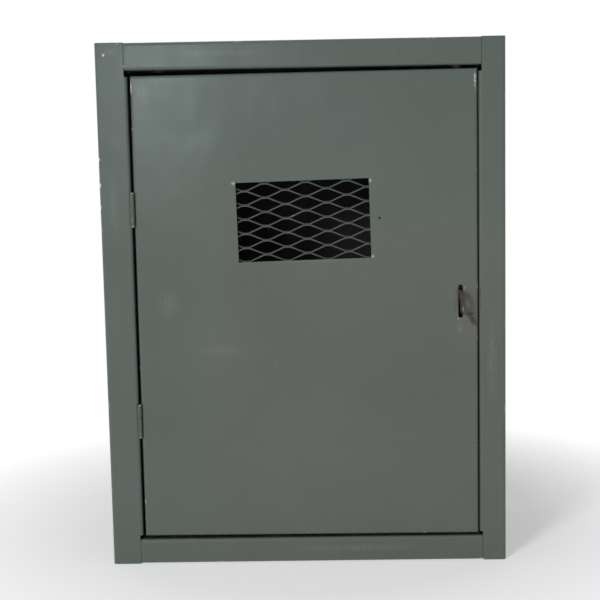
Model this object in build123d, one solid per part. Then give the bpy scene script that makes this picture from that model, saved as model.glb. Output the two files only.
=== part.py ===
"""Wall-mounted meter box of folded and welded sheet steel.

Millimetres. X runs to the right, Y from the front to the wall, Z up.
The origin is the centre of the back face, where the box meets the wall.
A face frame is folded from the side, top and bottom sheets. An inset pan door
hangs on two small butt hinges at the left, a raised expanded-metal mesh closes
its window from inside, and a fixed lug comes through a slot in the door for a
padlock. Inside are a mounting board on spacers and an earth terminal.
"""
from build123d import *
import math
import os

# Outer box
box_width = 460.0
box_height = 600.0
box_depth = 200.0
sheet = 1.5

# Face frame: two full-height stiles with the rails between them
stile_left = 36.0
stile_right = 30.5
rail_top = 31.0
rail_bottom = 29.0
lip_depth = 24.0
corner_bend = 4.0
lip_bend = 3.5
seam_gap = 0.4
relief_top = 7.0
relief_bottom = 5.0

# Rear flanges and back sheet
rear_flange = 20.0
rear_bend = 3.0
back_inset = 2.0
wall_hole_d = 9.0
wall_hole_from_side = 34.0
wall_hole_from_end = 38.0

# Conduit entries in the bottom
entry_d = 34.5
entry_span = 120.0
entry_to_back = 90.0

# Door: gaps to the frame differ at its corners, because the door hangs out of square
door_sheet = 1.5
door_bend = 3.5
door_flange = 18.0
door_slit = 1.0
gap_hinge_top = 2.9
gap_hinge_bottom = 2.5
gap_latch_top = 0.8
gap_latch_bottom = 1.2
gap_top_hinge = 6.0
gap_top_latch = 3.6
gap_bottom_hinge = 4.0
gap_bottom_latch = 3.0

# Window and its mesh
window_width = 151.0
window_height = 90.0
window_from_hinge_edge = 192.0
window_below_rail = 170.4
window_tilt = 1.2
mesh_margin = 12.0
mesh_long_pitch = 46.6
mesh_short_pitch = 16.1
mesh_strand = 1.75
mesh_sheet = 1.2
mesh_bond = 6.5
mesh_slant = 55.0
mesh_shift_x = 3.6
mesh_shift_z = -4.7
tag_hole_d = 2.6
tag_hole_from_window = 10.6
tag_hole_above_middle = 1.4

# Hinges
hinge_height = 37.0
upper_hinge_below_rail = 155.5
lower_hinge_above_rail = 141.0
knuckle_r = 2.5
knuckle_count = 5
knuckle_gap = 0.3
leaf_sheet = 1.1
leaf_depth = 16.0
pin_r = 1.3
pin_fit = 0.05
pin_head_r = 2.1
pin_head = 1.1
running_gap = 0.3

# Padlock lug and its slot
lug_sheet = 2.0
lug_width = 26.0
lug_reach = 22.0
lug_eye_d = 10.0
lug_eye_to_tip = 10.0
lug_bend = 4.0
lug_from_stile = 20.65
lug_above_middle = 4.0
slot_width = 5.2
slot_length = 38.0
slot_offset = -0.6

# Mounting board
board_from_side = 55.0
board_from_end = 70.0
board_sheet = 2.0
board_corner = 8.0
board_stud_inset = 18.0
meter_hole_d = 5.5
meter_hole_span_x = 110.0
meter_hole_span_z = 170.0
spacer_length = 25.0
spacer_d = 12.0
stud_d = 6.0
stud_fit = 0.3
stud_past_nut = 3.0
nut_flats = 10.0
nut_height = 5.0

# Earth terminal
earth_from_side = 36.0
earth_above_bottom = 120.0
earth_d = 8.0
earth_length = 28.0
earth_flats = 13.0
earth_nut_height = 6.5
earth_washer_d = 17.0
earth_washer = 1.6
earth_stack = 8.0

# Planes and faces worked out from the sizes above
half_width = box_width / 2
half_height = box_height / 2
front = -box_depth
left_edge = -half_width + stile_left
right_edge = half_width - stile_right
top_edge = half_height - rail_top
bottom_edge = -half_height + rail_bottom
flange_back = -sheet
board_front = -(sheet + spacer_length + board_sheet)
door_left_top = left_edge + gap_hinge_top
door_left_bottom = left_edge + gap_hinge_bottom
door_top_left = top_edge - gap_top_hinge
door_bottom_left = bottom_edge + gap_bottom_hinge
door_back = front + door_flange
window_x = door_left_top + window_from_hinge_edge
window_z = top_edge - window_below_rail
board_width = box_width - 2 * board_from_side
board_height = box_height - 2 * board_from_end
lug_x = right_edge - lug_from_stile
lug_z = lug_above_middle
hinge_x = left_edge + knuckle_r / 2
hinge_to_bend = lip_bend + knuckle_r + running_gap
hinge_y = front + lip_bend - math.sqrt(hinge_to_bend**2 - (lip_bend + knuckle_r / 2) ** 2)


def folded(points, bends, thickness, plane, length):
    """Sheet strip along a centre line drawn on a plane, bent at each inner point."""
    line = FilletPolyline(*points, radius=bends)
    section = trace(line, line_width=thickness)
    return extrude(plane * section, amount=length)


def block(x, y, z):
    """Box between two corners, given as three (low, high) pairs."""
    size = [abs(high - low) for low, high in (x, y, z)]
    centre = [(low + high) / 2 for low, high in (x, y, z)]
    return Pos(*centre) * Box(*size)


def rod(radius, start, end, at, axis="Z"):
    """Cylinder between two stations along an axis."""
    body = Cylinder(radius, end - start)
    middle = (start + end) / 2
    if axis == "X":
        return Pos(middle, *at) * Rot(0, 90, 0) * body
    if axis == "Y":
        return Pos(at[0], middle, at[1]) * Rot(90, 0, 0) * body
    return Pos(*at, middle) * body


def side_wall(sign, stile):
    """Full-height side sheet: rear flange, wall, front stile and its lip."""
    half = sheet / 2
    wall = sign * (half_width - half)
    lip = sign * (half_width - stile + half)
    points = [
        (sign * (half_width - rear_flange), flange_back - half),
        (wall, flange_back - half),
        (wall, front + half),
        (lip, front + half),
        (lip, front + lip_depth),
    ]
    bends = [rear_bend - half, corner_bend - half, lip_bend - half]
    folds = folded(points, bends, sheet, Plane.XY.offset(-half_height), box_height)
    beside_rail = (sign * (half_width - stile + lip_bend), sign * (half_width - stile - 1))
    reach = (front - 1, front + lip_depth + 1)
    folds -= block(beside_rail, reach, (top_edge - relief_top, half_height + 1))
    return folds - block(beside_rail, reach, (bottom_edge + relief_bottom, -half_height - 1))


def end_wall(sign, rail, sides):
    """Top or bottom sheet: rear flange, plate, front rail and its lip, fitted between the sides."""
    half = sheet / 2
    wall = sign * (half_height - half)
    lip = sign * (half_height - rail + half)
    points = [
        (flange_back - half, sign * (half_height - rear_flange)),
        (flange_back - half, wall),
        (front + half, wall),
        (front + half, lip),
        (front + lip_depth, lip),
    ]
    bends = [rear_bend - half, corner_bend - half, lip_bend - half]
    inner_width = box_width - 2 * sheet
    folds = folded(points, bends, sheet, Plane.YZ.offset(-inner_width / 2), inner_width)
    outside = sign * (half_height + 1)
    inside = sign * (half_height - sheet)
    below_rail = sign * (half_height - rail - 1)
    below_flange = sign * (half_height - rear_flange - 1)
    for side, stile in ((-1, stile_left), (1, stile_right)):
        beside_rail = (side * half_width, side * (half_width - stile + lip_bend - seam_gap))
        folds -= block(beside_rail, (front - 1, front + lip_depth + 1), (inside, below_rail))
        folds -= block(beside_rail, (front - 1, front + sheet), (inside, outside))
        beside_flange = (side * half_width, side * (half_width - rear_flange - seam_gap))
        folds -= block(beside_flange, (flange_back - rear_bend, 1), (inside, below_flange))
    for neighbour in sides:
        folds -= neighbour
    # The sides' bends part off thin corners, which are trimmed away
    return folds.solids().sort_by(SortBy.VOLUME)[-1]


def bottom_wall(sides):
    """Bottom sheet with its two conduit entries."""
    plate = end_wall(-1, rail_bottom, sides)
    for x in (-entry_span / 2, entry_span / 2):
        plate -= rod(entry_d / 2, -half_height - 1, -half_height + sheet + 1, (x, -entry_to_back))
    return plate


def back_wall():
    """Flat back sheet, lapped over the rear flanges."""
    plate = block(
        (-half_width + back_inset, half_width - back_inset),
        (-sheet, 0),
        (-half_height + back_inset, half_height - back_inset),
    )
    hole_x = half_width - wall_hole_from_side
    hole_z = half_height - wall_hole_from_end
    for x in (-hole_x, hole_x):
        for z in (-hole_z, hole_z):
            plate -= rod(wall_hole_d / 2, -sheet - 1, 1, (x, z), "Y")
    return plate


def door_outline():
    """Corners of the door's face, from the hinge side at the bottom and round."""
    return [
        (door_left_bottom, door_bottom_left),
        (right_edge - gap_latch_bottom, bottom_edge + gap_bottom_latch),
        (right_edge - gap_latch_top, top_edge - gap_top_latch),
        (door_left_top, door_top_left),
    ]


def door_left_at(z):
    """Where the door's hinge-side face is at a height, as that side leans a little."""
    share = (z - door_bottom_left) / (door_top_left - door_bottom_left)
    return door_left_bottom + share * (door_left_top - door_left_bottom)


def pan_block(grow, depth, bend):
    """Door outline grown by a distance, taken back from its face, front edges rounded."""
    face_plane = Plane((0, front - grow, 0), x_dir=(1, 0, 0), z_dir=(0, -1, 0))
    outline = make_face(Polyline(*door_outline(), close=True))
    if grow:
        outline = offset(outline, amount=grow, kind=Kind.INTERSECTION)
    body = extrude(face_plane * outline, amount=-depth)
    rim = body.edges().filter_by_position(Axis.Y, front - grow - 0.01, front - grow + 0.01)
    return fillet(rim, bend)


def window_place(depth_y):
    """Place of the window's centre at a given depth, with the window's tilt."""
    return Pos(window_x, depth_y, window_z) * Rot(0, -window_tilt, 0)


def door_panel():
    """Folded pan with open corners, window, lug slot and a small hole."""
    outer = pan_block(0, door_flange, door_bend)
    inner = pan_block(-door_sheet, door_flange + 1, door_bend - door_sheet)
    pan = outer - inner
    flat_start = front + door_bend
    for index, (x, z) in enumerate(door_outline()):
        turn = 45 if index in (0, 2) else -45
        cutter = Box(8 * door_bend, 2 * door_flange, door_slit)
        pan -= Pos(x, flat_start + door_flange, z) * Rot(0, turn, 0) * cutter
    pan -= window_place(front) * Box(window_width, 4 * door_sheet, window_height)
    slot_plane = Plane((lug_x + slot_offset, front - 1, lug_z), x_dir=(0, 0, 1), z_dir=(0, 1, 0))
    pan -= extrude(slot_plane * SlotOverall(slot_length, slot_width), amount=door_sheet + 2)
    tag_place = (window_x + window_width / 2 + tag_hole_from_window, window_z + tag_hole_above_middle)
    return pan - rod(tag_hole_d / 2, front - 1, front + door_sheet + 1, tag_place, "Y")


def mesh_strand_row(row, columns, wide, thick):
    """One zigzag strand: it leans up to each bond above it and down to each one below."""
    step_z = mesh_short_pitch / 2
    corners = [
        (0, side * wide[0] / 2 + face * thick[0] / 2, side * wide[1] / 2 + face * thick[1] / 2)
        for side, face in ((-1, -1), (1, -1), (1, 1), (-1, 1))
    ]
    stations = []
    for column in columns:
        up = 1 if (row + column) % 2 == 0 else -1
        x = mesh_shift_x + column * mesh_long_pitch / 2
        y = -up * wide[0] / 2
        bond_z = mesh_shift_z + (row + (up - 1) / 2) * step_z
        z = bond_z - up * wide[1] / 2
        stations += [(x - mesh_bond / 2, y, z), (x + mesh_bond / 2, y, z)]
    rings = [
        [Vector(x + dx, y + dy, z + dz) for dx, dy, dz in corners]
        for x, y, z in stations
    ]
    faces = [Face(Wire.make_polygon(rings[0])), Face(Wire.make_polygon(rings[-1]))]
    for ring, following in zip(rings, rings[1:]):
        for k in range(4):
            after = (k + 1) % 4
            loop = [ring[k], ring[after], following[after], following[k]]
            faces.append(Face(Wire.make_polygon(loop)))
    return Solid(Shell(faces))


def window_mesh():
    """Raised expanded metal: rows of slanted strands joined at their bonds, cut to size."""
    slant = math.radians(mesh_slant)
    wide = (mesh_strand * math.sin(slant), mesh_strand * math.cos(slant))
    thick = (mesh_sheet * math.cos(slant), -mesh_sheet * math.sin(slant))
    width = window_width + 2 * mesh_margin
    height = window_height + 2 * mesh_margin
    column_reach = math.ceil(width / mesh_long_pitch) + 1
    row_reach = math.ceil(height / mesh_short_pitch) + 1
    rows = [
        mesh_strand_row(row, range(-column_reach, column_reach + 1), wide, thick)
        for row in range(-row_reach, row_reach + 1)
    ]
    mesh = rows[0].fuse(*rows[1:])
    depth = 2 * wide[0] + abs(thick[0])
    # Strand ends that the cut parts off at a corner fall away
    cut = (mesh & Box(width, 2 * depth, height)).solids().sort_by(SortBy.VOLUME)[-1]
    return window_place(front + door_sheet + depth / 2) * cut


def knuckle_spans(middle):
    """Lowest and highest point of each hinge knuckle, from the bottom up."""
    length = (hinge_height - (knuckle_count - 1) * knuckle_gap) / knuckle_count
    start = middle - hinge_height / 2
    pitch = length + knuckle_gap
    return [(start + k * pitch, start + k * pitch + length) for k in range(knuckle_count)]


def hinge_leaf(middle, face, inward, own):
    """Leaf plate against a fold, curled into every second knuckle."""
    plate_x = tuple(sorted((face, face + inward * leaf_sheet)))
    low = middle - hinge_height / 2
    high = middle + hinge_height / 2
    leaf = block(plate_x, (hinge_y, hinge_y + leaf_depth), (low, high))
    at = (hinge_x, hinge_y)
    spans = knuckle_spans(middle)
    for k, (bottom, top) in enumerate(spans):
        if k % 2 == own:
            leaf += rod(knuckle_r, bottom, top, at)
        else:
            leaf -= rod(knuckle_r + running_gap, bottom - knuckle_gap, top + knuckle_gap, at)
    return leaf - rod(pin_r + pin_fit, low - 1, high + 1, at)


def hinge_pin(middle):
    """Pin with a small head at each end."""
    half = hinge_height / 2
    at = (hinge_x, hinge_y)
    pin = rod(pin_r, middle - half, middle + half, at)
    for end in (-half - pin_head, half):
        head = rod(pin_head_r, middle + end, middle + end + pin_head, at)
        rims = head.edges().filter_by(GeomType.CIRCLE).sort_by(Axis.Z)
        pin += chamfer(rims[0 if end < 0 else -1], pin_head / 3)
    return pin


def padlock_lug():
    """Flat strap from the latch-side lip, bent forward through the door's slot, with an eye."""
    half = lug_sheet / 2
    base_y = door_back + running_gap + half
    tip_y = front - lug_reach
    points = [(right_edge, base_y), (lug_x, base_y), (lug_x, tip_y)]
    low = Plane.XY.offset(lug_z - lug_width / 2)
    strap = folded(points, [lug_bend - half], lug_sheet, low, lug_width)
    tip = strap.edges().filter_by(Axis.X).filter_by_position(Axis.Y, tip_y - 0.01, tip_y + 0.01)
    strap = fillet(tip, lug_width / 4)
    eye_y = tip_y + lug_eye_to_tip
    return strap - rod(lug_eye_d / 2, lug_x - lug_sheet, lug_x + lug_sheet, (eye_y, lug_z), "X")


def stud_places():
    """Corners of the board's fixing studs, as (x, z)."""
    x = board_width / 2 - board_stud_inset
    z = board_height / 2 - board_stud_inset
    return [(-x, z), (x, z), (-x, -z), (x, -z)]


def meter_board():
    """Flat board with rounded corners, held on four studs, with four holes for a meter's screws."""
    plate = block(
        (-board_width / 2, board_width / 2),
        (board_front, board_front + board_sheet),
        (-board_height / 2, board_height / 2),
    )
    plate = fillet(plate.edges().filter_by(Axis.Y), board_corner)
    through = (board_front - 1, board_front + board_sheet + 1)
    for place in stud_places():
        plate -= rod(stud_d / 2 + stud_fit, *through, place, "Y")
    for x in (-meter_hole_span_x / 2, meter_hole_span_x / 2):
        for z in (-meter_hole_span_z / 2, meter_hole_span_z / 2):
            plate -= rod(meter_hole_d / 2, *through, (x, z), "Y")
    return plate


def board_spacer(place):
    """Round tube that keeps the board off the back sheet."""
    back = -sheet
    tube = rod(spacer_d / 2, board_front + board_sheet, back, place, "Y")
    return tube - rod(stud_d / 2 + stud_fit, board_front, back + 1, place, "Y")


def board_stud(place):
    """Welded stud that comes through the spacer, the board and the nut."""
    return rod(stud_d / 2, board_front - nut_height - stud_past_nut, -sheet, place, "Y")


def hex_nut(flats, height, hole_d, seat, place):
    """Plain hexagon nut, its back at the seat."""
    plane = Plane((place[0], seat, place[1]), x_dir=(1, 0, 0), z_dir=(0, -1, 0))
    body = extrude(plane * RegularPolygon(flats / math.sqrt(3), 6), amount=height)
    return body - rod(hole_d / 2, seat - height - 1, seat + 1, place, "Y")


def earth_terminal():
    """Brass stud with a washer and a nut, on the back sheet beside the board."""
    place = (-half_width + earth_from_side, -half_height + earth_above_bottom)
    stud = rod(earth_d / 2, -sheet - earth_length, -sheet, place, "Y")
    collar_face = -sheet - earth_stack
    stud += rod(earth_d * 0.8, collar_face, -sheet, place, "Y")
    washer_face = collar_face - earth_washer
    hole = rod(earth_d / 2 + stud_fit, washer_face - 1, collar_face + 1, place, "Y")
    washer = rod(earth_washer_d / 2, washer_face, collar_face, place, "Y") - hole
    nut = hex_nut(earth_flats, earth_nut_height, earth_d, washer_face, place)
    return stud, washer, nut


def all_parts():
    """Every node's name and solid."""
    left = side_wall(-1, stile_left)
    right = side_wall(1, stile_right)
    parts = {
        "left_side": left,
        "right_side": right,
        "top_panel": end_wall(1, rail_top, (left, right)),
        "bottom_panel": bottom_wall((left, right)),
        "back_panel": back_wall(),
        "door_panel": door_panel(),
        "window_mesh": window_mesh(),
        "padlock_lug": padlock_lug(),
        "meter_board": meter_board(),
    }
    hinges = {
        "upper": top_edge - upper_hinge_below_rail,
        "lower": bottom_edge + lower_hinge_above_rail,
    }
    for name, middle in hinges.items():
        parts[f"{name}_hinge_frame_leaf"] = hinge_leaf(middle, left_edge, 1, 0)
        ends = (middle - hinge_height / 2, middle + hinge_height / 2)
        door_face = min(door_left_at(z) for z in ends)
        parts[f"{name}_hinge_door_leaf"] = hinge_leaf(middle, door_face, -1, 1)
        parts[f"{name}_hinge_pin"] = hinge_pin(middle)
    places = stud_places()
    for number, place in enumerate(places, 1):
        parts[f"board_spacer_{number}"] = board_spacer(place)
    parts["board_studs"] = Compound([board_stud(place) for place in places])
    nuts = [hex_nut(nut_flats, nut_height, stud_d, board_front, place) for place in places]
    parts["board_nuts"] = Compound(nuts)
    stud, washer, nut = earth_terminal()
    parts["earth_stud"] = stud
    parts["earth_washer"] = washer
    parts["earth_nut"] = nut
    return parts


os.makedirs("parts", exist_ok=True)
for node, shape in all_parts().items():
    export_step(shape, f"parts/{node}.step")
    print(node, "volume", round(shape.volume), "mm3")
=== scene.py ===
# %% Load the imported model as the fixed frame
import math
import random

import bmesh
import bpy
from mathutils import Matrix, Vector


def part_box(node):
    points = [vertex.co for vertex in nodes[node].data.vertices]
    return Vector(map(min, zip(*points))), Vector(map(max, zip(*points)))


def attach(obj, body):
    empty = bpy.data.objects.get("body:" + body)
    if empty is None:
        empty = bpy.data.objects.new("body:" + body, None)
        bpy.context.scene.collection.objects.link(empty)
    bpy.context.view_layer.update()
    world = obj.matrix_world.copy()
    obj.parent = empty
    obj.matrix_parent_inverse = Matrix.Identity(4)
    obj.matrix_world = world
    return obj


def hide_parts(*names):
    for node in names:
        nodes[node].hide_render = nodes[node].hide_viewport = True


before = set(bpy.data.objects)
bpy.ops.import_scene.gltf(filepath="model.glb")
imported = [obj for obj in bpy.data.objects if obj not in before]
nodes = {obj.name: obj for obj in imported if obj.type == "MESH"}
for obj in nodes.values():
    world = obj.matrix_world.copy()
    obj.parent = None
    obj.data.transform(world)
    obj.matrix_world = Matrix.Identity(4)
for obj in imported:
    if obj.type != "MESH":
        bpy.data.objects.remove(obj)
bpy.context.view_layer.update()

# %% [markdown]
# A wall meter box is a plain thing: folded steel sheet, a pan door on two small hinges, a
# window closed by expanded metal, and a strap that a padlock goes through. The solids are
# already true, so Blender adds what paint, welding and years of use did to them. Lengths
# are metres, X to the right, Y towards the wall and Z up. The box is measured first.

mm = 0.001

# %% [markdown]
# Names for the planes that the marks and welds below are set from. They are read from the
# solids' own boxes, so that they follow when the solids change.

# %% Planes of the box
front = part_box("left_side")[0][1]
half_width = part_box("right_side")[1][0]
half_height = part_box("left_side")[1][2]
stile_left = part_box("left_side")[1][0]
stile_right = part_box("right_side")[0][0]
rail_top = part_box("top_panel")[0][2]
rail_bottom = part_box("bottom_panel")[1][2]
door_low, door_high = (Vector(corner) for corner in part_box("door_panel"))
mesh_low, mesh_high = (Vector(corner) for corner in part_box("window_mesh"))
lug_low, lug_high = (Vector(corner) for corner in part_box("padlock_lug"))
print("front plane", round(front, 4), "door", [round(v, 4) for v in door_high - door_low])

# %% [markdown]
# The camera comes before the finishes, because they are looked at through it. It stands a
# little above and to the right of the middle of the door, looking slightly down, so the
# stiles lean together towards the foot of the picture. A small sideways shift keeps the box in
# the middle without turning the camera.

# %% Camera
camera_data = bpy.data.cameras.new("camera")
camera_data.sensor_width = 36
camera_data.lens = 60
camera_data.shift_x = -0.0667
camera = bpy.data.objects.new("camera", camera_data)
camera.location = (0.0544, -1.3363, 0.1167)
camera.rotation_euler = [math.radians(a) for a in (84.504, 0.945, 0.595)]
bpy.context.collection.objects.link(camera)
bpy.context.scene.camera = camera
bpy.context.scene.view_settings.view_transform = "Standard"
print("camera at", tuple(round(v, 3) for v in camera.location))

# %% [markdown]
# Two soft lamps, both high on the left and both far off, so that neither falls away over the
# width of the box. The key stands well to the side and throws the padlock strap's shadow to
# the right and down. It is kept out of reflections, because satin paint would smear its
# mirror image over the whole left stile. The second lamp is small, faint and a little blue.
# It stands where the door's upper left corner mirrors it to the camera, and makes the broad
# pale sheen there. They are area lamps, because their size sets how soft a shadow's edge
# is. A lamp's level is given as the share of full daylight on the door, and the power
# that gives it follows from the lamp's distance and slant.

# %% Lamps
def soft_lamp(name, place, size, share, colour=(1, 1, 1), mirrored=True):
    """Square area lamp that faces the box and gives the door's face a share of the full level."""
    reach = Vector(place) - Vector((0, front, 0))
    slant = -reach.normalized().y
    data = bpy.data.lights.new(name, "AREA")
    data.shape = "SQUARE"
    data.size = size
    data.color = colour
    data.energy = share * math.pi**2 * reach.length_squared / slant
    lamp = bpy.data.objects.new(name, data)
    lamp.location = place
    lamp.visible_glossy = mirrored
    lamp.rotation_euler = reach.to_track_quat("Z", "Y").to_euler()
    bpy.context.collection.objects.link(lamp)
    print(name, "power", round(data.energy, 1), "W")


soft_lamp("key_lamp", place=(-2.0, -3.45, 0.95), size=0.8, share=0.54, mirrored=False)
soft_lamp("sheen_lamp", place=(-0.88, -3.7, 0.68), size=0.3, share=0.03, colour=(0.78, 0.95, 1))

# %% [markdown]
# The world and every finish are built from the same few kinds of node, so each kind gets a
# short helper. A helper takes plain values or the outputs of other nodes, whichever is at
# hand, so that a whole finish reads from top to bottom like a recipe.

# %% Helpers for node trees
def add(tree, kind, inputs=None, **settings):
    """Makes a node, with properties by name and its inputs as values or links."""
    node = tree.nodes.new(kind)
    for name, value in settings.items():
        setattr(node, name, value)
    for name, value in (inputs or {}).items():
        if isinstance(value, bpy.types.NodeSocket):
            tree.links.new(value, node.inputs[name])
        else:
            node.inputs[name].default_value = value
    return node


def calc(tree, operation, *values, clamp=True):
    """Math on values or sockets, kept between 0 and 1 unless clamp is off."""
    settings = {"operation": operation, "use_clamp": clamp}
    return add(tree, "ShaderNodeMath", dict(enumerate(values)), **settings).outputs[0]


def fade(tree, value, low, high, low_out=0.0, high_out=1.0):
    """A value turned into a share: low_out at low, high_out at high, and even between."""
    inputs = {
        "Value": value,
        "From Min": low,
        "From Max": high,
        "To Min": low_out,
        "To Max": high_out,
    }
    return add(tree, "ShaderNodeMapRange", inputs).outputs[0]


def blended(tree, share, a, b, kind="MIX"):
    """Colour b laid over colour a by a share, mixed with it or multiplied by it."""
    node = add(tree, "ShaderNodeMix", data_type="RGBA", blend_type=kind)
    for socket, value in ((node.inputs[0], share), (node.inputs[6], a), (node.inputs[7], b)):
        if isinstance(value, bpy.types.NodeSocket):
            tree.links.new(value, socket)
        else:
            socket.default_value = (*value, 1) if isinstance(value, tuple) else value
    return node.outputs[2]


print("node helpers ready")

# %% [markdown]
# A studio backdrop should read as white without more light on the object. Light Path tells
# a shader which rays come straight from the camera, or were mirrored or passed through,
# and only those see white. Every other ray sees a plain grey that lights the box.

# %% World
unseen_level = 0.25
white_level = 1.0


def seen_rays(tree):
    """1 for a ray from the camera, mirrored or passed through, 0 for one that lights things."""
    rays = add(tree, "ShaderNodeLightPath").outputs
    seen = calc(tree, "MAXIMUM", rays["Is Camera Ray"], rays["Is Glossy Ray"])
    return calc(tree, "MAXIMUM", seen, rays["Is Transmission Ray"])


world = bpy.data.worlds.new("studio")
bpy.context.scene.world = world
world.use_nodes = True
sky = world.node_tree
sky_level = fade(sky, seen_rays(sky), 0, 1, unseen_level, white_level)
sky.links.new(sky_level, sky.nodes["Background"].inputs["Strength"])
sky.nodes["Background"].inputs["Color"].default_value = (1, 1, 1, 1)
print("world nodes:", len(sky.nodes))

# %% [markdown]
# All finishes read Object coordinates. Every solid's object sits at the origin, so these
# are real places on the box in metres, and a mark can be put where a ruler would find it.
# Noise at a low scale gives clouds, at a high scale grain, and stretched it gives streaks.

# %% Places and patterns
def new_finish(name):
    """Material, its tree, its main shader and the Object coordinates that patterns read."""
    material = bpy.data.materials.new(name)
    material.use_nodes = True
    tree = material.node_tree
    shader = tree.nodes["Principled BSDF"]
    place = add(tree, "ShaderNodeTexCoord").outputs["Object"]
    return material, tree, shader, place


def split(tree, place):
    """X, Y and Z of a place or a direction, by name."""
    return add(tree, "ShaderNodeSeparateXYZ", {0: place}).outputs


def distance(tree, place):
    """How far a place lies from the point where its coordinates start."""
    return add(tree, "ShaderNodeVectorMath", {0: place}, operation="LENGTH").outputs["Value"]


def noise(tree, place, scale, detail=4.0, roughness=0.55):
    """Cloudy pattern with about this many features to the metre."""
    inputs = {"Vector": place, "Scale": scale, "Detail": detail, "Roughness": roughness}
    return add(tree, "ShaderNodeTexNoise", inputs).outputs["Fac"]


def stretched(tree, place, factors):
    """The same place, stretched so that a pattern runs long in one direction."""
    return add(tree, "ShaderNodeMapping", {"Vector": place, "Scale": factors}).outputs[0]


print("places and patterns ready")

# %% [markdown]
# A Bump node takes a height from 0 to 1 and the real depth that 1 stands for, so depths can
# be given as they would be measured. Several bumps are chained, each bending the normal
# that the one before it has bent. The solids only get a finish, and keep their shape.

# %% Bumps, and finishes on solids
def bumped(tree, shader, layers):
    """Chains bumps, given as (height socket, real depth in metres), into the shader's normal."""
    normal = None
    for height, depth in layers:
        inputs = {"Height": height, "Distance": depth, "Strength": 1.0}
        if normal:
            inputs["Normal"] = normal
        normal = add(tree, "ShaderNodeBump", inputs).outputs[0]
    tree.links.new(normal, shader.inputs["Normal"])


def coat(material, *names):
    """Gives a finish to solids of the frame."""
    for name in names:
        nodes[name].data.materials.clear()
        nodes[name].data.materials.append(material)
    print(material.name, "on", ", ".join(names))


print("bumps ready")

# %% [markdown]
# A chip, a rub mark or a stain is a soft-edged ellipsoid at a real place, given in
# millimetres. Mapping in its Texture mode turns a place into the ellipsoid's own
# coordinates, whose length is 1 at the rim. Cloudy noise added to that length gives the
# ragged rim that a compass can't.

# %% Marks at real places
def mark(tree, place, at, reach, rim, ragged, turn=0.0):
    """1 inside a small ellipsoid, 0 outside, with a rim as soft as rim says."""
    inputs = {
        "Vector": place,
        "Location": [v * mm for v in at],
        "Rotation": (0, math.radians(turn), 0),
        "Scale": [v * mm for v in reach],
    }
    own = add(tree, "ShaderNodeMapping", inputs, vector_type="TEXTURE").outputs[0]
    away = calc(tree, "ADD", distance(tree, own), ragged, clamp=False)
    return fade(tree, away, 1.0, 1.0 - rim)


def marks(tree, place, listed, rim, ragged):
    """The highest of several marks, each given as (at, reach) or (at, reach, turn)."""
    total = 0.0
    for at, reach, *turn in listed:
        total = calc(tree, "MAXIMUM", mark(tree, place, at, reach, rim, ragged, *turn), total)
    return total


print("marks ready")

# %% [markdown]
# The paint is a satin green-grey, sprayed over thin sheet, and never one flat colour. These
# are the colours that it, its wear and the light and shade painted into it are mixed from,
# as linear light, and the depths of the bumps that go with them: the slow waviness of thin
# sheet, the fine orange peel of sprayed paint, and the step down from the paint to bare metal.

# %% Colours and depths of the paint
paint_dark = (0.070, 0.082, 0.069)
paint_light = (0.084, 0.097, 0.082)
# Painted light: a cool tint that the paint is multiplied by at the head and hinge side.
cool_light_tint = (0.87, 0.965, 1.01)
bare_edge = (0.30, 0.31, 0.295)
rust = (0.16, 0.11, 0.075)
# White of the frame's worn bright spots, and of the painted highlights on the door's rolled
# edges.
scraped_and_highlight_white = (0.50, 0.52, 0.50)
rubbed = (0.15, 0.165, 0.15)
brown_film = (0.098, 0.086, 0.070)
# Dark of the marks below the strap, one of which is a painted shadow.
dark_mark_and_shadow = (0.020, 0.020, 0.016)
# Painted shade: the dark that the folds round the door's gap are mixed towards.
gap_shade_dark = (0.018, 0.017, 0.014)
dust = (0.20, 0.205, 0.19)

sheet_wave = 3.0 * mm
orange_peel = 0.03 * mm
paint_step = 0.12 * mm
print("paint from", paint_dark, "to", paint_light)

# %% [markdown]
# Some marks follow the form of the sheets. Two are painted light: a painted cool light that
# makes the paint bluer and a little darker at the head and along the hinge side, and a
# painted shade on the folds round the door's gap. Dust lies on what faces up, and chips
# gather on the folded rims. Each is a share from 0 to 1, worked out from where a point
# lies, so that no sheet needs a painted picture.

# %% Wear and painted light that follow the sheets
def painted_cool_light(tree, place, patchy):
    """Share of the painted cool light: bluer and a little darker at the head and along the hinge
    side.
    """
    parts = split(tree, place)
    head = fade(tree, parts["Z"], 80 * mm, 190 * mm)
    hinge_side = fade(tree, parts["X"], -100 * mm, -170 * mm, 0, 0.9)
    share = calc(tree, "MAXIMUM", head, hinge_side)
    return calc(tree, "MULTIPLY", share, fade(tree, patchy, 0.3, 0.7, 0.75, 1))


def settled_dust(tree, place):
    """Share of dust on faces that look up, thin and uneven."""
    up = split(tree, add(tree, "ShaderNodeNewGeometry").outputs["Normal"])["Z"]
    thickness = fade(tree, noise(tree, place, 22, 8, 0.75), 0.3, 0.7, 0.2, 0.5)
    return calc(tree, "MULTIPLY", fade(tree, up, 0.55, 0.95), thickness)


def gap_painted_shade(tree, place, patchy):
    """Share of painted shade on the folds round the door's gap, least at the head and most at the
    sill.
    """
    parts = split(tree, place)
    behind = fade(tree, parts["Y"], front + 2 * mm, front + 6 * mm)
    before = fade(tree, parts["Y"], front + 30 * mm, front + 25 * mm)
    shade_share = fade(tree, parts["Z"], 0, rail_bottom, 0.45, 0.95)
    shade_share = calc(tree, "MULTIPLY", shade_share, calc(tree, "MULTIPLY", behind, before))
    for axis, edge in (("X", half_width), ("Z", half_height)):
        off = calc(tree, "ABSOLUTE", parts[axis], clamp=False)
        shade_share = calc(tree, "MULTIPLY", shade_share, fade(tree, off, edge - 22 * mm, edge - 26 * mm))
    return calc(tree, "MULTIPLY", shade_share, fade(tree, patchy, 0.35, 0.6, 0.6, 1))


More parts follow.
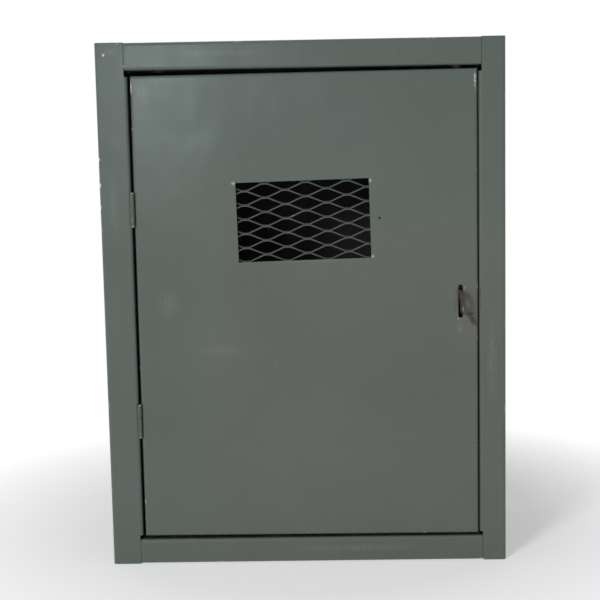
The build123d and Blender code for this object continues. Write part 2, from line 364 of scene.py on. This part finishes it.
def worn_rim(tree, place, low, high, depth=3.0 * mm):
    """1 on the folded rim between a front face and its sides, for a box given by two corners."""
    parts = split(tree, place)
    near_front = fade(tree, parts["Y"], low[1] + depth, low[1] + 0.4 * depth)
    rim = 0.0
    for axis, index in (("X", 0), ("Z", 2)):
        for edge, inward in ((low[index], 1), (high[index], -1)):
            from_edge, to_edge = edge + inward * depth, edge + inward * 0.4 * depth
            rim = calc(tree, "MAXIMUM", fade(tree, parts[axis], from_edge, to_edge), rim)
    return calc(tree, "MINIMUM", rim, near_front)


print("sheet wear ready")

# %% [markdown]
# Other wear is at single places: films of brown dirt, pale rubs, chips down to the metal and
# white scrapes. Painted light is laid on in the same way: dark marks, one of them a painted
# shadow, and white painted highlights. They are lists of marks. Films and rubs let the paint
# show through. Chips join the worn patches of the folded rim, and rust has taken part of both.

# %% Wear at single places
def handling_marks_and_shadow(tree, place, colour, ragged, stains, rubs, strokes):
    """A colour with brown films, streaky rubs and dark marks laid over it; the dark marks are
    partly painted shadow.
    """
    if stains:
        film = marks(tree, place, stains, rim=0.9, ragged=ragged)
        colour = blended(tree, calc(tree, "MULTIPLY", film, 0.55), colour, brown_film)
    if rubs:
        streaks = noise(tree, stretched(tree, place, (500, 500, 120)), 1, 4)
        streaky = fade(tree, streaks, 0.4, 0.65, 0.15, 1)
        rub = marks(tree, place, rubs, rim=0.9, ragged=ragged)
        rub = calc(tree, "MULTIPLY", rub, streaky)
        colour = blended(tree, calc(tree, "MULTIPLY", rub, 0.5), colour, rubbed)
    if strokes:
        stroke = marks(tree, place, strokes, rim=0.6, ragged=ragged)
        colour = blended(tree, stroke, colour, dark_mark_and_shadow)
    return colour


def chipped_share(tree, place, low, high, ragged, chips):
    """1 where the paint is off: in patches of the folded rim, and at the chips of a list."""
    patch = fade(tree, noise(tree, place, 48, 6, 0.75), 0.60, 0.66)
    share = calc(tree, "MULTIPLY", worn_rim(tree, place, low, high), patch)
    if chips:
        chip = marks(tree, place, chips, rim=0.8, ragged=ragged)
        share = calc(tree, "MAXIMUM", share, chip)
    return share


def bare_metal_and_highlights(tree, place, colour, ragged, chipped, scrapes_and_highlights):
    """A colour with metal in its chips, part of it rusty, and white marks over all: bright worn
    metal on the frame, painted highlights on the door.
    """
    rusting = fade(tree, noise(tree, place, 260, 4), 0.52, 0.62)
    bare = blended(tree, calc(tree, "MULTIPLY", rusting, 0.6), bare_edge, rust)
    colour = blended(tree, chipped, colour, bare)
    if scrapes_and_highlights:
        scrape_and_highlight = marks(tree, place, scrapes_and_highlights, rim=0.7, ragged=ragged)
        colour = blended(tree, scrape_and_highlight, colour, scraped_and_highlight_white)
    return colour


print("single marks ready")

# %% [markdown]
# One function makes the paint of any sheet, because the sheets were sprayed together and
# differ only in their marks. The coat clouds over a hand's breadth, carries finer mottling,
# and wiping has left it a little glossier in upright streaks. Dust and chips make it rougher.

# %% Satin paint on folded sheet
def sheet_paint(
    name, low, high, chips=(), rubs=(), stains=(), strokes=(), scrapes_and_highlights=(), more_bumps=None
):
    """Satin paint with the marks of one sheet; low and high are the corners of its box."""
    material, tree, shader, place = new_finish(name)
    cloud = noise(tree, place, 6, 3)
    mottle = noise(tree, place, 70, 6, 0.65)
    wiped = noise(tree, stretched(tree, place, (70, 70, 5)), 1, 5)
    ragged = fade(tree, noise(tree, place, 380, 5, 0.7), 0.25, 0.75, -0.6, 0.6)
    settled = settled_dust(tree, place)
    chipped = chipped_share(tree, place, low, high, ragged, chips)

    colour = blended(tree, fade(tree, cloud, 0.3, 0.7), paint_dark, paint_light)
    colour = blended(tree, fade(tree, mottle, 0.3, 0.75, 0, 0.22), colour, paint_light)
    colour = blended(tree, fade(tree, wiped, 0.62, 0.8, 0, 0.16), colour, rubbed)
    # Painted cool light, bluer and darker at the head and along the hinge side.
    colour = blended(tree, painted_cool_light(tree, place, cloud), colour, cool_light_tint, kind="MULTIPLY")
    colour = blended(tree, settled, colour, dust)
    # Painted shade on the folds round the door's gap.
    colour = blended(tree, gap_painted_shade(tree, place, mottle), colour, gap_shade_dark)
    colour = handling_marks_and_shadow(tree, place, colour, ragged, stains, rubs, strokes)
    colour = bare_metal_and_highlights(tree, place, colour, ragged, chipped, scrapes_and_highlights)
    tree.links.new(colour, shader.inputs["Base Color"])

    rough = fade(tree, wiped, 0.3, 0.75, 0.27, 0.21)
    rough = calc(tree, "MAXIMUM", rough, calc(tree, "MULTIPLY", settled, 0.8))
    rough = calc(tree, "ADD", rough, calc(tree, "MULTIPLY", chipped, 0.2))
    tree.links.new(rough, shader.inputs["Roughness"])

    grain = noise(tree, place, 900, 2)
    unchipped = calc(tree, "SUBTRACT", 1.0, chipped)
    layers = [(cloud, sheet_wave), (grain, orange_peel), (unchipped, paint_step)]
    if more_bumps:
        layers += more_bumps(tree, place)
    bumped(tree, shader, layers)
    return material


print("satin paint ready")

# %% [markdown]
# The frame's marks: small chips on the outer edges and beside the top rail's left seam,
# one white scrape high on the left stile and three more down its rim, pale rubs on stiles
# and rails, and brown films at the upper hinge and where the padlock has swung against the
# right stile. Each place is X, Y, Z in millimetres, then the reach. The left stile's fold
# has also sprung back a little. A slope in its bump turns its face to the light without a
# change of shape.

# %% Frame sheets
face = front / mm
stile_slope = 0.035
frame_chips = [
    ((-197, face, 274), (1.8, 2, 1.4)),
    ((-229, face + 1, 92), (1.2, 3, 5)),
    ((229, face + 1, -120), (1.2, 3, 6)),
    ((-204, face, 299), (2.5, 3, 1.6)),
]
frame_scrapes = [
    ((-219.6, face, 286.4), (1.7, 2, 2.0)),
    ((-228.6, face + 1.5, 171), (1.9, 3, 2.6)),
    ((-228.6, face + 1.5, 142), (1.8, 3, 3.2)),
    ((-228.8, face + 1.5, 117), (1.4, 3, 2.8)),
]
frame_rubs = [
    ((-214, face, 120), (7, 3, 40)),
    ((214, face, -60), (6, 3, 60)),
    ((-90, face, 286), (60, 3, 5)),
    ((60, face, -284), (90, 3, 5)),
    ((-213, face, 291), (12, 3, 8)),
]
frame_stains = [((203, face + 4, -7), (6, 8, 30)), ((-197, face + 3, 100), (3, 6, 22))]


def turned_stile(tree, place):
    """Bump that turns the left stile's face outwards a little, as its fold left it."""
    across = fade(tree, split(tree, place)["X"], -half_width, stile_left)
    return [(across, stile_slope * (stile_left + half_width))]


frame_paint = sheet_paint(
    "frame_paint",
    (-half_width, front, -half_height),
    (half_width, 0, half_height),
    chips=frame_chips,
    rubs=frame_rubs,
    stains=frame_stains,
    scrapes_and_highlights=frame_scrapes,
    more_bumps=turned_stile,
)
coat(frame_paint, "left_side", "right_side", "top_panel", "bottom_panel")

# %% [markdown]
# The door has its own marks: painted highlights as white streaks on the rolled side edges
# near the top, chips at three of the window's corners and at the strap's slot, rubs under the
# window, at the upper left corner, to the left of the middle and beside the strap, brown
# films where the padlock hangs, and below the strap a painted shadow along its lower edge
# and a dark diagonal mark.

# %% Door sheet
door_chips = [
    ((-77.9, face, 141.6), (2.6, 2, 2.6)),
    ((76.8, face, 142.6), (2.4, 2, 2.8)),
    ((78.4, face, 56.7), (2.5, 2, 2.8)),
    ((175.6, face, -16.2), (1.2, 2, 1.0)),
    ((183.0, face, 19.0), (1.2, 2, 1.7)),
]
# Painted highlights: white streaks where the rolled side edges glint near the top.
door_painted_highlights = [
    ((-189.9, face + 1.5, 251), (1.2, 3, 9)),
    ((195.4, face + 1.5, 253), (1.5, 3, 12)),
]
door_rubs = [
    ((0, face, 52.5), (62, 3, 2.2)),
    ((-156, face, 4), (14, 3, 19)),
    ((-95, face, -48), (34, 3, 9)),
    ((-150, face, 259), (40, 3, 4)),
    ((168, face, 14), (7, 3, 16)),
    ((178, face, -28), (8, 3, 8)),
    ((-177, face, 244), (10, 3, 20)),
]
door_stains = [
    ((186, face, -4), (14, 4, 24)),
    ((186, face, -34), (14, 4, 22)),
    ((193, face, 2), (5, 6, 34)),
]
# The first is a painted shadow along the strap's lower edge, the second a dark diagonal mark.
door_strokes = [
    ((188.8, face, -11.0), (7.0, 2, 3.4)),
    ((192.2, face, -17.8), (4.2, 2, 10.0), -32),
]
door_paint = sheet_paint(
    "door_paint",
    door_low,
    door_high,
    chips=door_chips,
    rubs=door_rubs,
    stains=door_stains,
    strokes=door_strokes,
    scrapes_and_highlights=door_painted_highlights,
)
coat(door_paint, "door_panel")

# %% [markdown]
# The back sheet is spot welded to the flanges behind it, every 75 mm. Each spot is a
# shallow round dimple. A repeating pattern is a folded coordinate: wrapping the height
# into one step and taking the distance from its middle gives the same dimple at every step.
# This sheet has no front rim to wear, so the box that it is given starts far ahead of it.

# %% Back sheet with spot welds
spot_pitch = 75 * mm
spot_radius = 3.2 * mm
spot_depth = 0.35 * mm
spot_from_edge = 12 * mm
far_ahead = -1.0


def spot_welds(tree, place):
    """Bump layers for a column or row of dimples inside each edge of the back sheet."""
    parts = split(tree, place)
    dimples = 0.0
    for across, along, edge in (("X", "Z", half_width), ("Z", "X", half_height)):
        side = calc(tree, "ABSOLUTE", parts[across], clamp=False)
        off = calc(tree, "SUBTRACT", side, edge - spot_from_edge, clamp=False)
        step = calc(tree, "WRAP", parts[along], -spot_pitch / 2, spot_pitch / 2, clamp=False)
        spot = add(tree, "ShaderNodeCombineXYZ", {0: off, 1: step}).outputs[0]
        dimple = fade(tree, distance(tree, spot), spot_radius, spot_radius * 0.7)
        dimples = calc(tree, "MAXIMUM", dimple, dimples)
    return [(calc(tree, "SUBTRACT", 1.0, dimples), spot_depth)]


back_paint = sheet_paint(
    "back_paint",
    (-half_width, far_ahead, -half_height),
    (half_width, 0, half_height),
    more_bumps=spot_welds,
)
coat(back_paint, "back_panel")

# %% [markdown]
# Small metal parts. Bright zinc goes dull and cloudy, brass goes brown in patches, a hinge
# pin is worn bright. One function makes all three, because they differ only in colour,
# in how fine the tarnished patches are, and in how rough they are.

# %% Bare metals
def bare_metal(name, clean, tarnished, rough, patches):
    """Metal that has tarnished in patches, with fine turning marks."""
    material, tree, shader, place = new_finish(name)
    patchy = fade(tree, noise(tree, place, patches, 5, 0.65), 0.38, 0.62)
    fine = noise(tree, place, 2600, 3)
    colour = blended(tree, patchy, clean, tarnished)
    colour = blended(tree, fade(tree, fine, 0.5, 0.8, 0, 0.3), colour, tarnished)
    tree.links.new(colour, shader.inputs["Base Color"])
    tree.links.new(fade(tree, patchy, 0, 1, rough, rough + 0.28), shader.inputs["Roughness"])
    shader.inputs["Metallic"].default_value = 1.0
    bumped(tree, shader, [(fine, 0.03 * mm)])
    return material


zinc = bare_metal("dull_zinc", (0.56, 0.56, 0.54), (0.30, 0.31, 0.30), rough=0.34, patches=220)
brass = bare_metal("dull_brass", (0.62, 0.46, 0.20), (0.30, 0.20, 0.10), rough=0.30, patches=260)
steel = bare_metal("pin_steel", (0.55, 0.54, 0.52), (0.17, 0.14, 0.11), rough=0.28, patches=400)
coat(zinc, "board_spacer_1", "board_spacer_2", "board_spacer_3", "board_spacer_4")
coat(brass, "earth_washer")
coat(steel, "upper_hinge_pin", "lower_hinge_pin")

# %% [markdown]
# The hinges were sprayed with the box, so thick paint fills them, and it has rubbed
# through to the metal in small patches. The lower one has gone a little more olive.

# %% Hinges
hinge_grey = (0.092, 0.102, 0.090)
hinge_olive = (0.088, 0.093, 0.074)
hinge_worn = (0.20, 0.20, 0.18)


def hinge_paint(name, light):
    """Thick paint that clouds towards a lighter colour, worn to metal in small patches."""
    material, tree, shader, place = new_finish(name)
    mottle = noise(tree, place, 130, 5, 0.6)
    worn = fade(tree, noise(tree, place, 210, 6, 0.75), 0.60, 0.66)
    colour = blended(tree, fade(tree, mottle, 0.3, 0.7), paint_dark, light)
    colour = blended(tree, worn, colour, hinge_worn)
    tree.links.new(colour, shader.inputs["Base Color"])
    tree.links.new(fade(tree, mottle, 0.3, 0.7, 0.46, 0.62), shader.inputs["Roughness"])
    shader.inputs["Specular IOR Level"].default_value = 0.3
    bumped(tree, shader, [(mottle, 0.1 * mm), (calc(tree, "SUBTRACT", 1.0, worn), 0.08 * mm)])
    return material


upper_hinge_paint = hinge_paint("hinge_paint", hinge_grey)
lower_hinge_paint = hinge_paint("olive_hinge_paint", hinge_olive)
coat(upper_hinge_paint, "upper_hinge_frame_leaf", "upper_hinge_door_leaf")
coat(lower_hinge_paint, "lower_hinge_frame_leaf", "lower_hinge_door_leaf")

# %% [markdown]
# The mounting board inside is a flatter, much darker grey, dusty and never wiped. Its grey
# is made nearly black as painted shade, so that the inside stays dark behind the expanded metal.

# %% Mounting board
# Painted shade: the board is made nearly black to stand for the dark inside the box.
board_shade_dark = (0.011, 0.0115, 0.011)
board_shade_light = (0.018, 0.0185, 0.018)
board_paint, tree, shader, place = new_finish("board_paint")
mottle = noise(tree, place, 40, 6, 0.65)
colour = blended(tree, fade(tree, mottle, 0.3, 0.7), board_shade_dark, board_shade_light)
colour = blended(tree, fade(tree, noise(tree, place, 9, 4), 0.5, 0.75, 0, 0.05), colour, dust)
tree.links.new(colour, shader.inputs["Base Color"])
tree.links.new(fade(tree, mottle, 0.3, 0.7, 0.55, 0.72), shader.inputs["Roughness"])
shader.inputs["Specular IOR Level"].default_value = 0.25
bumped(tree, shader, [(noise(tree, place, 700, 3), 0.05 * mm)])
coat(board_paint, "meter_board")

# %% [markdown]
# From here on come new pieces. Each ends the same way: its bmesh becomes an object at the
# origin, gets its finish, rides on a body of the frame, and hides any solid that it stands for.

# %% Turning a bmesh into a piece
def piece(shape, name, finish, body, stands_for=()):
    """Object made from a bmesh, smooth but for edges over 35 degrees, riding on a body."""
    bmesh.ops.recalc_face_normals(shape, faces=shape.faces)
    for edge in shape.edges:
        edge.smooth = len(edge.link_faces) != 2 or edge.calc_face_angle() < math.radians(35)
    for side in shape.faces:
        side.smooth = True
    mesh = bpy.data.meshes.new(name)
    shape.to_mesh(mesh)
    shape.free()
    made = bpy.data.objects.new(name, mesh)
    bpy.context.collection.objects.link(made)
    mesh.materials.append(finish)
    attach(made, body)
    if stands_for:
        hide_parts(*stands_for)
    mesh.calc_loop_triangles()
    print(name, "triangles", len(mesh.loop_triangles))
    return made


print("ready for new pieces")

# %% [markdown]
# Thick paint and years of handling round the edges of thin metal. The mesh and the strap
# need that, because both are seen from close by. A solid comes as loose triangles, so its
# copy is welded, its flat faces are joined again, and only then are the sharp edges
# beveled.

# %% Softening a solid's edges
def softened(node, width, sharp=30):
    """Copy of a solid, welded from its loose triangles, with its sharp edges rounded."""
    shape = bmesh.new()
    shape.from_mesh(nodes[node].data)
    bmesh.ops.remove_doubles(shape, verts=shape.verts, dist=0.001 * mm)
    bmesh.ops.dissolve_limit(
        shape, angle_limit=math.radians(1), verts=shape.verts, edges=shape.edges
    )
    edges = [
        e for e in shape.edges
        if len(e.link_faces) == 2 and e.calc_face_angle() > math.radians(sharp)
    ]
    bmesh.ops.bevel(
        shape, geom=edges, offset=width, offset_type="OFFSET", segments=2,
        profile=0.5, affect="EDGES", material=-1, clamp_overlap=True,
    )
    return shape


print("softening ready")

# %% [markdown]
# Raised expanded metal is slit and stretched from one sheet, so its strands lie on edge and
# meet in short thick bonds. The solid has that form with square edges, so a softened copy
# stands for it. Its paint is a little darker than the door's, and worn on small spots.

# %% Window mesh
strand_dark = (0.060, 0.068, 0.060)
strand_light = (0.085, 0.094, 0.084)
strand_worn = (0.16, 0.165, 0.15)
strand_edge = 0.22 * mm
mesh_finish, tree, shader, place = new_finish("mesh_paint")
mottle = noise(tree, place, 260, 5, 0.65)
worn = fade(tree, noise(tree, place, 170, 5, 0.7), 0.62, 0.68)
colour = blended(tree, fade(tree, mottle, 0.3, 0.7), strand_dark, strand_light)
tree.links.new(blended(tree, worn, colour, strand_worn), shader.inputs["Base Color"])
tree.links.new(fade(tree, mottle, 0.3, 0.7, 0.42, 0.58), shader.inputs["Roughness"])
bumped(tree, shader, [(mottle, 0.08 * mm)])
strands = softened("window_mesh", strand_edge)
piece(strands, "expanded_metal", mesh_finish, "door", ["window_mesh"])

# %% [markdown]
# The padlock strap was cut from flat bar and welded in behind the stile. The padlock has
# rubbed its paint away, so it is brown with rust, with small orange pits. Where the shackle
# still rubs its front edge and its face above the eye it is paler and glossier: worn metal,
# with a painted highlight on it. The two rubs are again in millimetres, from the strap's own
# tip and the middle of the bar's thickness.

# %% Rust of the padlock strap
crust_dark = (0.026, 0.022, 0.018)
crust_light = (0.056, 0.043, 0.033)
pit_rust = (0.080, 0.048, 0.027)
# Worn metal with a painted highlight, where the shackle rubs.
shackle_wear_and_highlight = (0.13, 0.125, 0.115)
half_bar = 1.0
lug_x = lug_low.x / mm + half_bar
lug_tip = lug_low.y / mm
shackle_rubs = [((lug_x, lug_tip, -3), (4, 2.0, 4.5)), ((lug_x, lug_tip + 10, 9.2), (4, 4, 1.6))]

strap_finish, tree, shader, place = new_finish("rusty_strap")
crust = noise(tree, place, 190, 7, 0.7)
pits = noise(tree, place, 900, 4, 0.6)
ragged = fade(tree, noise(tree, place, 420, 5, 0.7), 0.25, 0.75, -0.5, 0.5)
# Share of worn metal and painted highlight.
worn_and_highlit = marks(tree, place, shackle_rubs, 0.7, ragged)
colour = blended(tree, fade(tree, crust, 0.35, 0.65), crust_dark, crust_light)
colour = blended(tree, fade(tree, pits, 0.55, 0.7, 0, 0.6), colour, pit_rust)
tree.links.new(blended(tree, worn_and_highlit, colour, shackle_wear_and_highlight), shader.inputs["Base Color"])
tree.links.new(fade(tree, worn_and_highlit, 0, 1, 0.72, 0.38), shader.inputs["Roughness"])
bumped(tree, shader, [(crust, 0.35 * mm), (pits, 0.12 * mm)])
print("rust for a strap with its tip at", round(lug_tip, 1), "mm")

# %% [markdown]
# The strap's upper half has been knocked a little to the left, and only in front of the
# door. A flat face can't bend without points in it, so the strap is first cut by a row of
# level planes and a row of upright ones. An eased share, flat at both ends, then moves the
# points, so that the bend starts and ends softly.

# %% Knocked padlock strap
knock = 1.7 * mm
level_step = 1.5 * mm
upright_step = 2 * mm
bend_height = 9 * mm
bend_depth = 12 * mm
lug_middle = (lug_low.z + lug_high.z) / 2


def eased(value, low, high):
    """0 at low, 1 at high, and smooth between."""
    t = min(1, max(0, (value - low) / (high - low)))
    return t * t * (3 - 2 * t)


strap = softened("padlock_lug", 0.3 * mm)
cuts = [((0, 0, lug_middle + k * level_step), (0, 0, 1)) for k in range(-1, 8)]
cuts += [((0, front + k * upright_step, 0), (0, 1, 0)) for k in range(7)]
for at, facing in cuts:
    everything = strap.verts[:] + strap.edges[:] + strap.faces[:]
    bmesh.ops.bisect_plane(strap, geom=everything, plane_co=at, plane_no=facing)
for v in strap.verts:
    risen = eased(v.co.z, lug_middle - level_step, lug_middle + bend_height)
    ahead = eased(-v.co.y, -front - bend_depth, -front)
    v.co.x -= knock * risen * ahead
piece(strap, "padlock_strap", strap_finish, "cabinet", ["padlock_lug"])

# %% [markdown]
# A weld bead is a row of overlapping ripples. Pushing a small ring along the joint step by
# step, a little fatter or thinner each time, gives exactly that. The sizes come from a
# seeded generator, so every run makes the same bead.

# %% Weld beads
ripple = random.Random(7)
ripple_height = 0.16
ripple_spread = 0.07


def bead(shape, start, end, radius, step=1.1 * mm):
    """Rippled bead from one point to another, as an extruded ring with closed ends."""
    start, end = Vector(start), Vector(end)
    along = end - start
    turn = along.to_track_quat("Z", "Y").to_matrix().to_4x4()
    ring = bmesh.ops.create_circle(
        shape, segments=10, radius=radius * 0.5, matrix=Matrix.Translation(start) @ turn
    )["verts"]
    edges = list({e for v in ring for e in v.link_edges})
    bmesh.ops.contextual_create(shape, geom=edges)
    steps = max(3, round(along.length / step))
    size, centre = radius * 0.5, start.copy()
    for k in range(1, steps + 1):
        share = 0.5
        if k < steps:
            share = 1 + ripple_height * (-1) ** k + ripple.uniform(-ripple_spread, ripple_spread)
        grown = radius * share
        new = bmesh.ops.extrude_edge_only(shape, edges=edges)["geom"]
        ring = [g for g in new if isinstance(g, bmesh.types.BMVert)]
        edges = [g for g in new if isinstance(g, bmesh.types.BMEdge)]
        bmesh.ops.translate(shape, verts=ring, vec=along / steps)
        centre += along / steps
        about = Matrix.Translation(-centre)
        bmesh.ops.scale(shape, verts=ring, vec=(grown / size,) * 3, space=about)
        size = grown
    bmesh.ops.contextual_create(shape, geom=edges)


print("beads ready")

# %% [markdown]
# The welds were painted with the box, but not cleaned first, so soot shows through the paint
# in clouds and leaves it rougher.

# %% Painted welds
weld_soot = (0.035, 0.030, 0.024)
weld_finish, tree, shader, place = new_finish("painted_weld")
soot = noise(tree, place, 300, 5, 0.7)
colour = blended(tree, fade(tree, soot, 0.4, 0.62), paint_dark, weld_soot)
tree.links.new(colour, shader.inputs["Base Color"])
tree.links.new(fade(tree, soot, 0.3, 0.7, 0.45, 0.7), shader.inputs["Roughness"])
bumped(tree, shader, [(soot, 0.15 * mm)])
print(weld_finish.name, "nodes", len(tree.nodes))

# %% [markdown]
# The strap is welded to the stile's lip along its back, and the four corners of the door's
# opening are welded where the lips of the stiles and rails meet.

# %% Frame welds
strap_weld = bmesh.new()
weld_x = stile_right + 0.3 * mm
weld_y = lug_high.y + 0.2 * mm
weld_from, weld_to = lug_low.z + 2 * mm, lug_high.z - 2 * mm
bead(strap_weld, (weld_x, weld_y, weld_from), (weld_x, weld_y, weld_to), 1.7 * mm)
piece(strap_weld, "strap_weld", weld_finish, "cabinet")

corner_welds = bmesh.new()
corner_from, corner_to = front + 8 * mm, front + 22 * mm
for z in (rail_top, rail_bottom):
    for x in (stile_left, stile_right):
        bead(corner_welds, (x, corner_from, z), (x, corner_to, z), 1.1 * mm)
piece(corner_welds, "corner_welds", weld_finish, "cabinet")

# %% [markdown]
# The expanded metal is tacked to the back of the door round its edge. A tack is a low
# lump: a small sphere, pressed flat, with its surface shaken a little.

# %% Tack welds on the mesh
tacks = bmesh.new()
tack_radius = 3.2 * mm
tack_shake = 0.25
tack_pressed = Matrix.Diagonal((1, 0.55, 1, 1))
tack_back = mesh_high.y - 1.0 * mm
tack_inset = 5 * mm
tack_columns = [-0.5, -0.17, 0.17, 0.5]
tack_places = [(c, r) for c in tack_columns for r in (-0.5, 0.5)] + [(-0.5, 0.0), (0.5, 0.0)]
window_middle = (mesh_low + mesh_high) / 2
for across, up in tack_places:
    x = window_middle.x + across * (mesh_high.x - mesh_low.x - 2 * tack_inset)
    z = window_middle.z + up * (mesh_high.z - mesh_low.z - 2 * tack_inset)
    lump = bmesh.ops.create_uvsphere(
        tacks, u_segments=14, v_segments=8, radius=tack_radius,
        matrix=Matrix.Translation((x, tack_back, z)) @ tack_pressed,
    )["verts"]
    for v in lump:
        v.co += Vector(ripple.uniform(-tack_shake, tack_shake) * mm for _ in range(3))
piece(tacks, "mesh_tacks", weld_finish, "door")

# %% [markdown]
# Studs and nuts show when the door is open. A thread this fine reads well as a row of
# grooves, so a stud is a zigzag line spun once round its axis, with its last groove
# narrowing to a chamfered tip. It is spun upright and then laid to point at the door.

# %% Making a stud
def facing_out(place):
    """Turns a shape built along Z so that it stands out from the back sheet at a place."""
    return Matrix.Translation(place) @ Matrix.Rotation(math.radians(90), 4, "X")


def add_stud(shape, place, radius, length, thread, pitch, collar=None):
    """Spun stud: a plain shank, an optional collar at its root, a thread and a chamfered tip."""
    line = [(0, 0)]
    if collar:
        line += [(collar[0], 0), (collar[0], collar[1]), (radius, collar[1])]
    else:
        line += [(radius, 0)]
    start = length - thread
    groove, tip = 0.86 * radius, 0.72 * radius
    line += [(radius, start)]
    for k in range(int(thread / pitch) - 1):
        line += [(groove, start + (k + 0.5) * pitch), (radius, start + (k + 1) * pitch)]
    line += [(groove, length - 0.4 * pitch), (tip, length), (0, length)]
    points = [shape.verts.new((r, 0, z)) for r, z in line]
    edges = [shape.edges.new(pair) for pair in zip(points, points[1:])]
    before = set(shape.verts) - set(points)
    bmesh.ops.spin(
        shape, geom=points + edges, cent=(0, 0, 0), axis=(0, 0, 1), angle=math.tau,
        steps=20, use_merge=True, use_duplicate=False,
    )
    spun = [v for v in shape.verts if v not in before]
    bmesh.ops.remove_doubles(shape, verts=spun, dist=0.005 * mm)
    spun = [v for v in shape.verts if v not in before]
    bmesh.ops.transform(shape, matrix=facing_out(place), verts=spun)


print("studs ready")

# %% [markdown]
# A nut is a stack of rings bridged one to the next: the bore, a circle where a cone has cut
# the corners, the hexagon, and back again. The last ring is bridged to the first, which
# makes the wall of the bore and closes the shape.

# %% Making a nut
def add_nut(shape, place, flats, height, bore):
    """Hexagon nut with its corners cut by a cone, standing on a seat."""
    cone = 0.49 * flats
    rings = [(bore, 0), (cone, 0), (None, 0.14), (None, 0.86), (cone, 1), (bore, 1)]
    loops = []
    for radius, share in rings:
        verts = bmesh.ops.create_circle(shape, segments=24, radius=radius or flats / 2)["verts"]
        if radius is None:
            for v in verts:
                turn = math.degrees(math.atan2(v.co.y, v.co.x)) % 60 - 30
                v.co /= math.cos(math.radians(turn))
        up = Matrix.Translation((0, 0, share * height))
        bmesh.ops.transform(shape, matrix=facing_out(place) @ up, verts=verts)
        loops.append(list({e for v in verts for e in v.link_edges}))
    for loop, following in zip(loops, loops[1:] + loops[:1]):
        bmesh.ops.bridge_loops(shape, edges=loop + following)


print("nuts ready")

# %% [markdown]
# Four zinc studs and nuts hold the board. Their places and lengths are read from the plain
# solids that they replace, and only the thread has a size of its own.

# %% Board studs and nuts
stud_low, stud_high = (Vector(c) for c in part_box("board_studs"))
nut_low, nut_high = (Vector(c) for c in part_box("board_nuts"))
stud_length = stud_high.y - stud_low.y
stud_radius = 3 * mm
stud_thread = 12 * mm
stud_pitch = 1 * mm
nut_height = nut_high.y - nut_low.y
nut_flats = 10 * mm
studs, nuts = bmesh.new(), bmesh.new()
for x in (stud_low.x + stud_radius, stud_high.x - stud_radius):
    for z in (stud_low.z + stud_radius, stud_high.z - stud_radius):
        add_stud(studs, (x, stud_high.y, z), stud_radius, stud_length, stud_thread, stud_pitch)
        add_nut(nuts, (x, nut_high.y, z), nut_flats, nut_height, stud_radius)
piece(studs, "board_stud_set", zinc, "cabinet", ["board_studs"])
piece(nuts, "board_nut_set", zinc, "cabinet", ["board_nuts"])

# %% [markdown]
# The earth terminal is a bigger stud of brass. The wire's lug is clamped between its washer,
# which rests on a collar, and its nut. The same two helpers make it.

# %% Earth terminal
earth_low, earth_high = (Vector(c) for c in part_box("earth_stud"))
earth_nut_low, earth_nut_high = (Vector(c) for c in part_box("earth_nut"))
earth_middle = (earth_low + earth_high) / 2
earth_root = (earth_middle.x, earth_high.y, earth_middle.z)
earth_seat = (earth_middle.x, earth_nut_high.y, earth_middle.z)
earth_length = earth_high.y - earth_low.y
earth_nut_height = earth_nut_high.y - earth_nut_low.y
earth_radius = 4 * mm
earth_thread = 18 * mm
earth_pitch = 1.25 * mm
earth_collar = (1.6 * earth_radius, 8 * mm)
earth_flats = 13 * mm
earth, earth_nut = bmesh.new(), bmesh.new()
add_stud(
    earth, earth_root, earth_radius, earth_length, earth_thread, earth_pitch, earth_collar
)
add_nut(earth_nut, earth_seat, earth_flats, earth_nut_height, earth_radius)
piece(earth, "earth_stud_threaded", brass, "cabinet", ["earth_stud"])
piece(earth_nut, "earth_nut_chamfered", brass, "cabinet", ["earth_nut"])

# %% [markdown]
# The floor is stage, not object. Close to the box it is a pale surface that takes the box's
# shadow, with a faint glow of its own, because a plain one looks grey beside a white
# backdrop. Further out it turns white by distance, so that no horizon shows. That full
# white is only for the rays that see the backdrop, so that it puts no light on the box.
# The floor lies a hair below the box, because two faces in one plane flicker.

# %% Floor
floor_radius = 12
floor_drop = 0.2 * mm
floor_pale = (0.84, 0.84, 0.84, 1)
floor_glow = 0.35
white_from, white_to = 0.42, 0.66
floor_shape = bmesh.new()
bmesh.ops.create_circle(floor_shape, cap_ends=True, segments=96, radius=floor_radius)
bmesh.ops.translate(floor_shape, verts=floor_shape.verts, vec=(0, 0, -half_height - floor_drop))
floor_mesh = bpy.data.meshes.new("floor")
floor_shape.to_mesh(floor_mesh)
floor_shape.free()
floor = bpy.data.objects.new("floor", floor_mesh)
bpy.context.collection.objects.link(floor)

floor_finish, tree, shader, place = new_finish("pale_floor")
shader.inputs["Base Color"].default_value = floor_pale
shader.inputs["Roughness"].default_value = 0.9
shader.inputs["Specular IOR Level"].default_value = 0.1
shader.inputs["Emission Color"].default_value = (1, 1, 1, 1)
shader.inputs["Emission Strength"].default_value = floor_glow
far = fade(tree, distance(tree, place), white_from, white_to)
white = add(tree, "ShaderNodeEmission", {"Color": (1, 1, 1, 1), "Strength": white_level})
share = calc(tree, "MULTIPLY", far, seen_rays(tree))
shown = add(tree, "ShaderNodeMixShader", {0: share, 1: shader.outputs[0], 2: white.outputs[0]})
tree.links.new(shown.outputs[0], tree.nodes["Material Output"].inputs["Surface"])
floor.data.materials.append(floor_finish)
print("floor at", round(-half_height, 3))
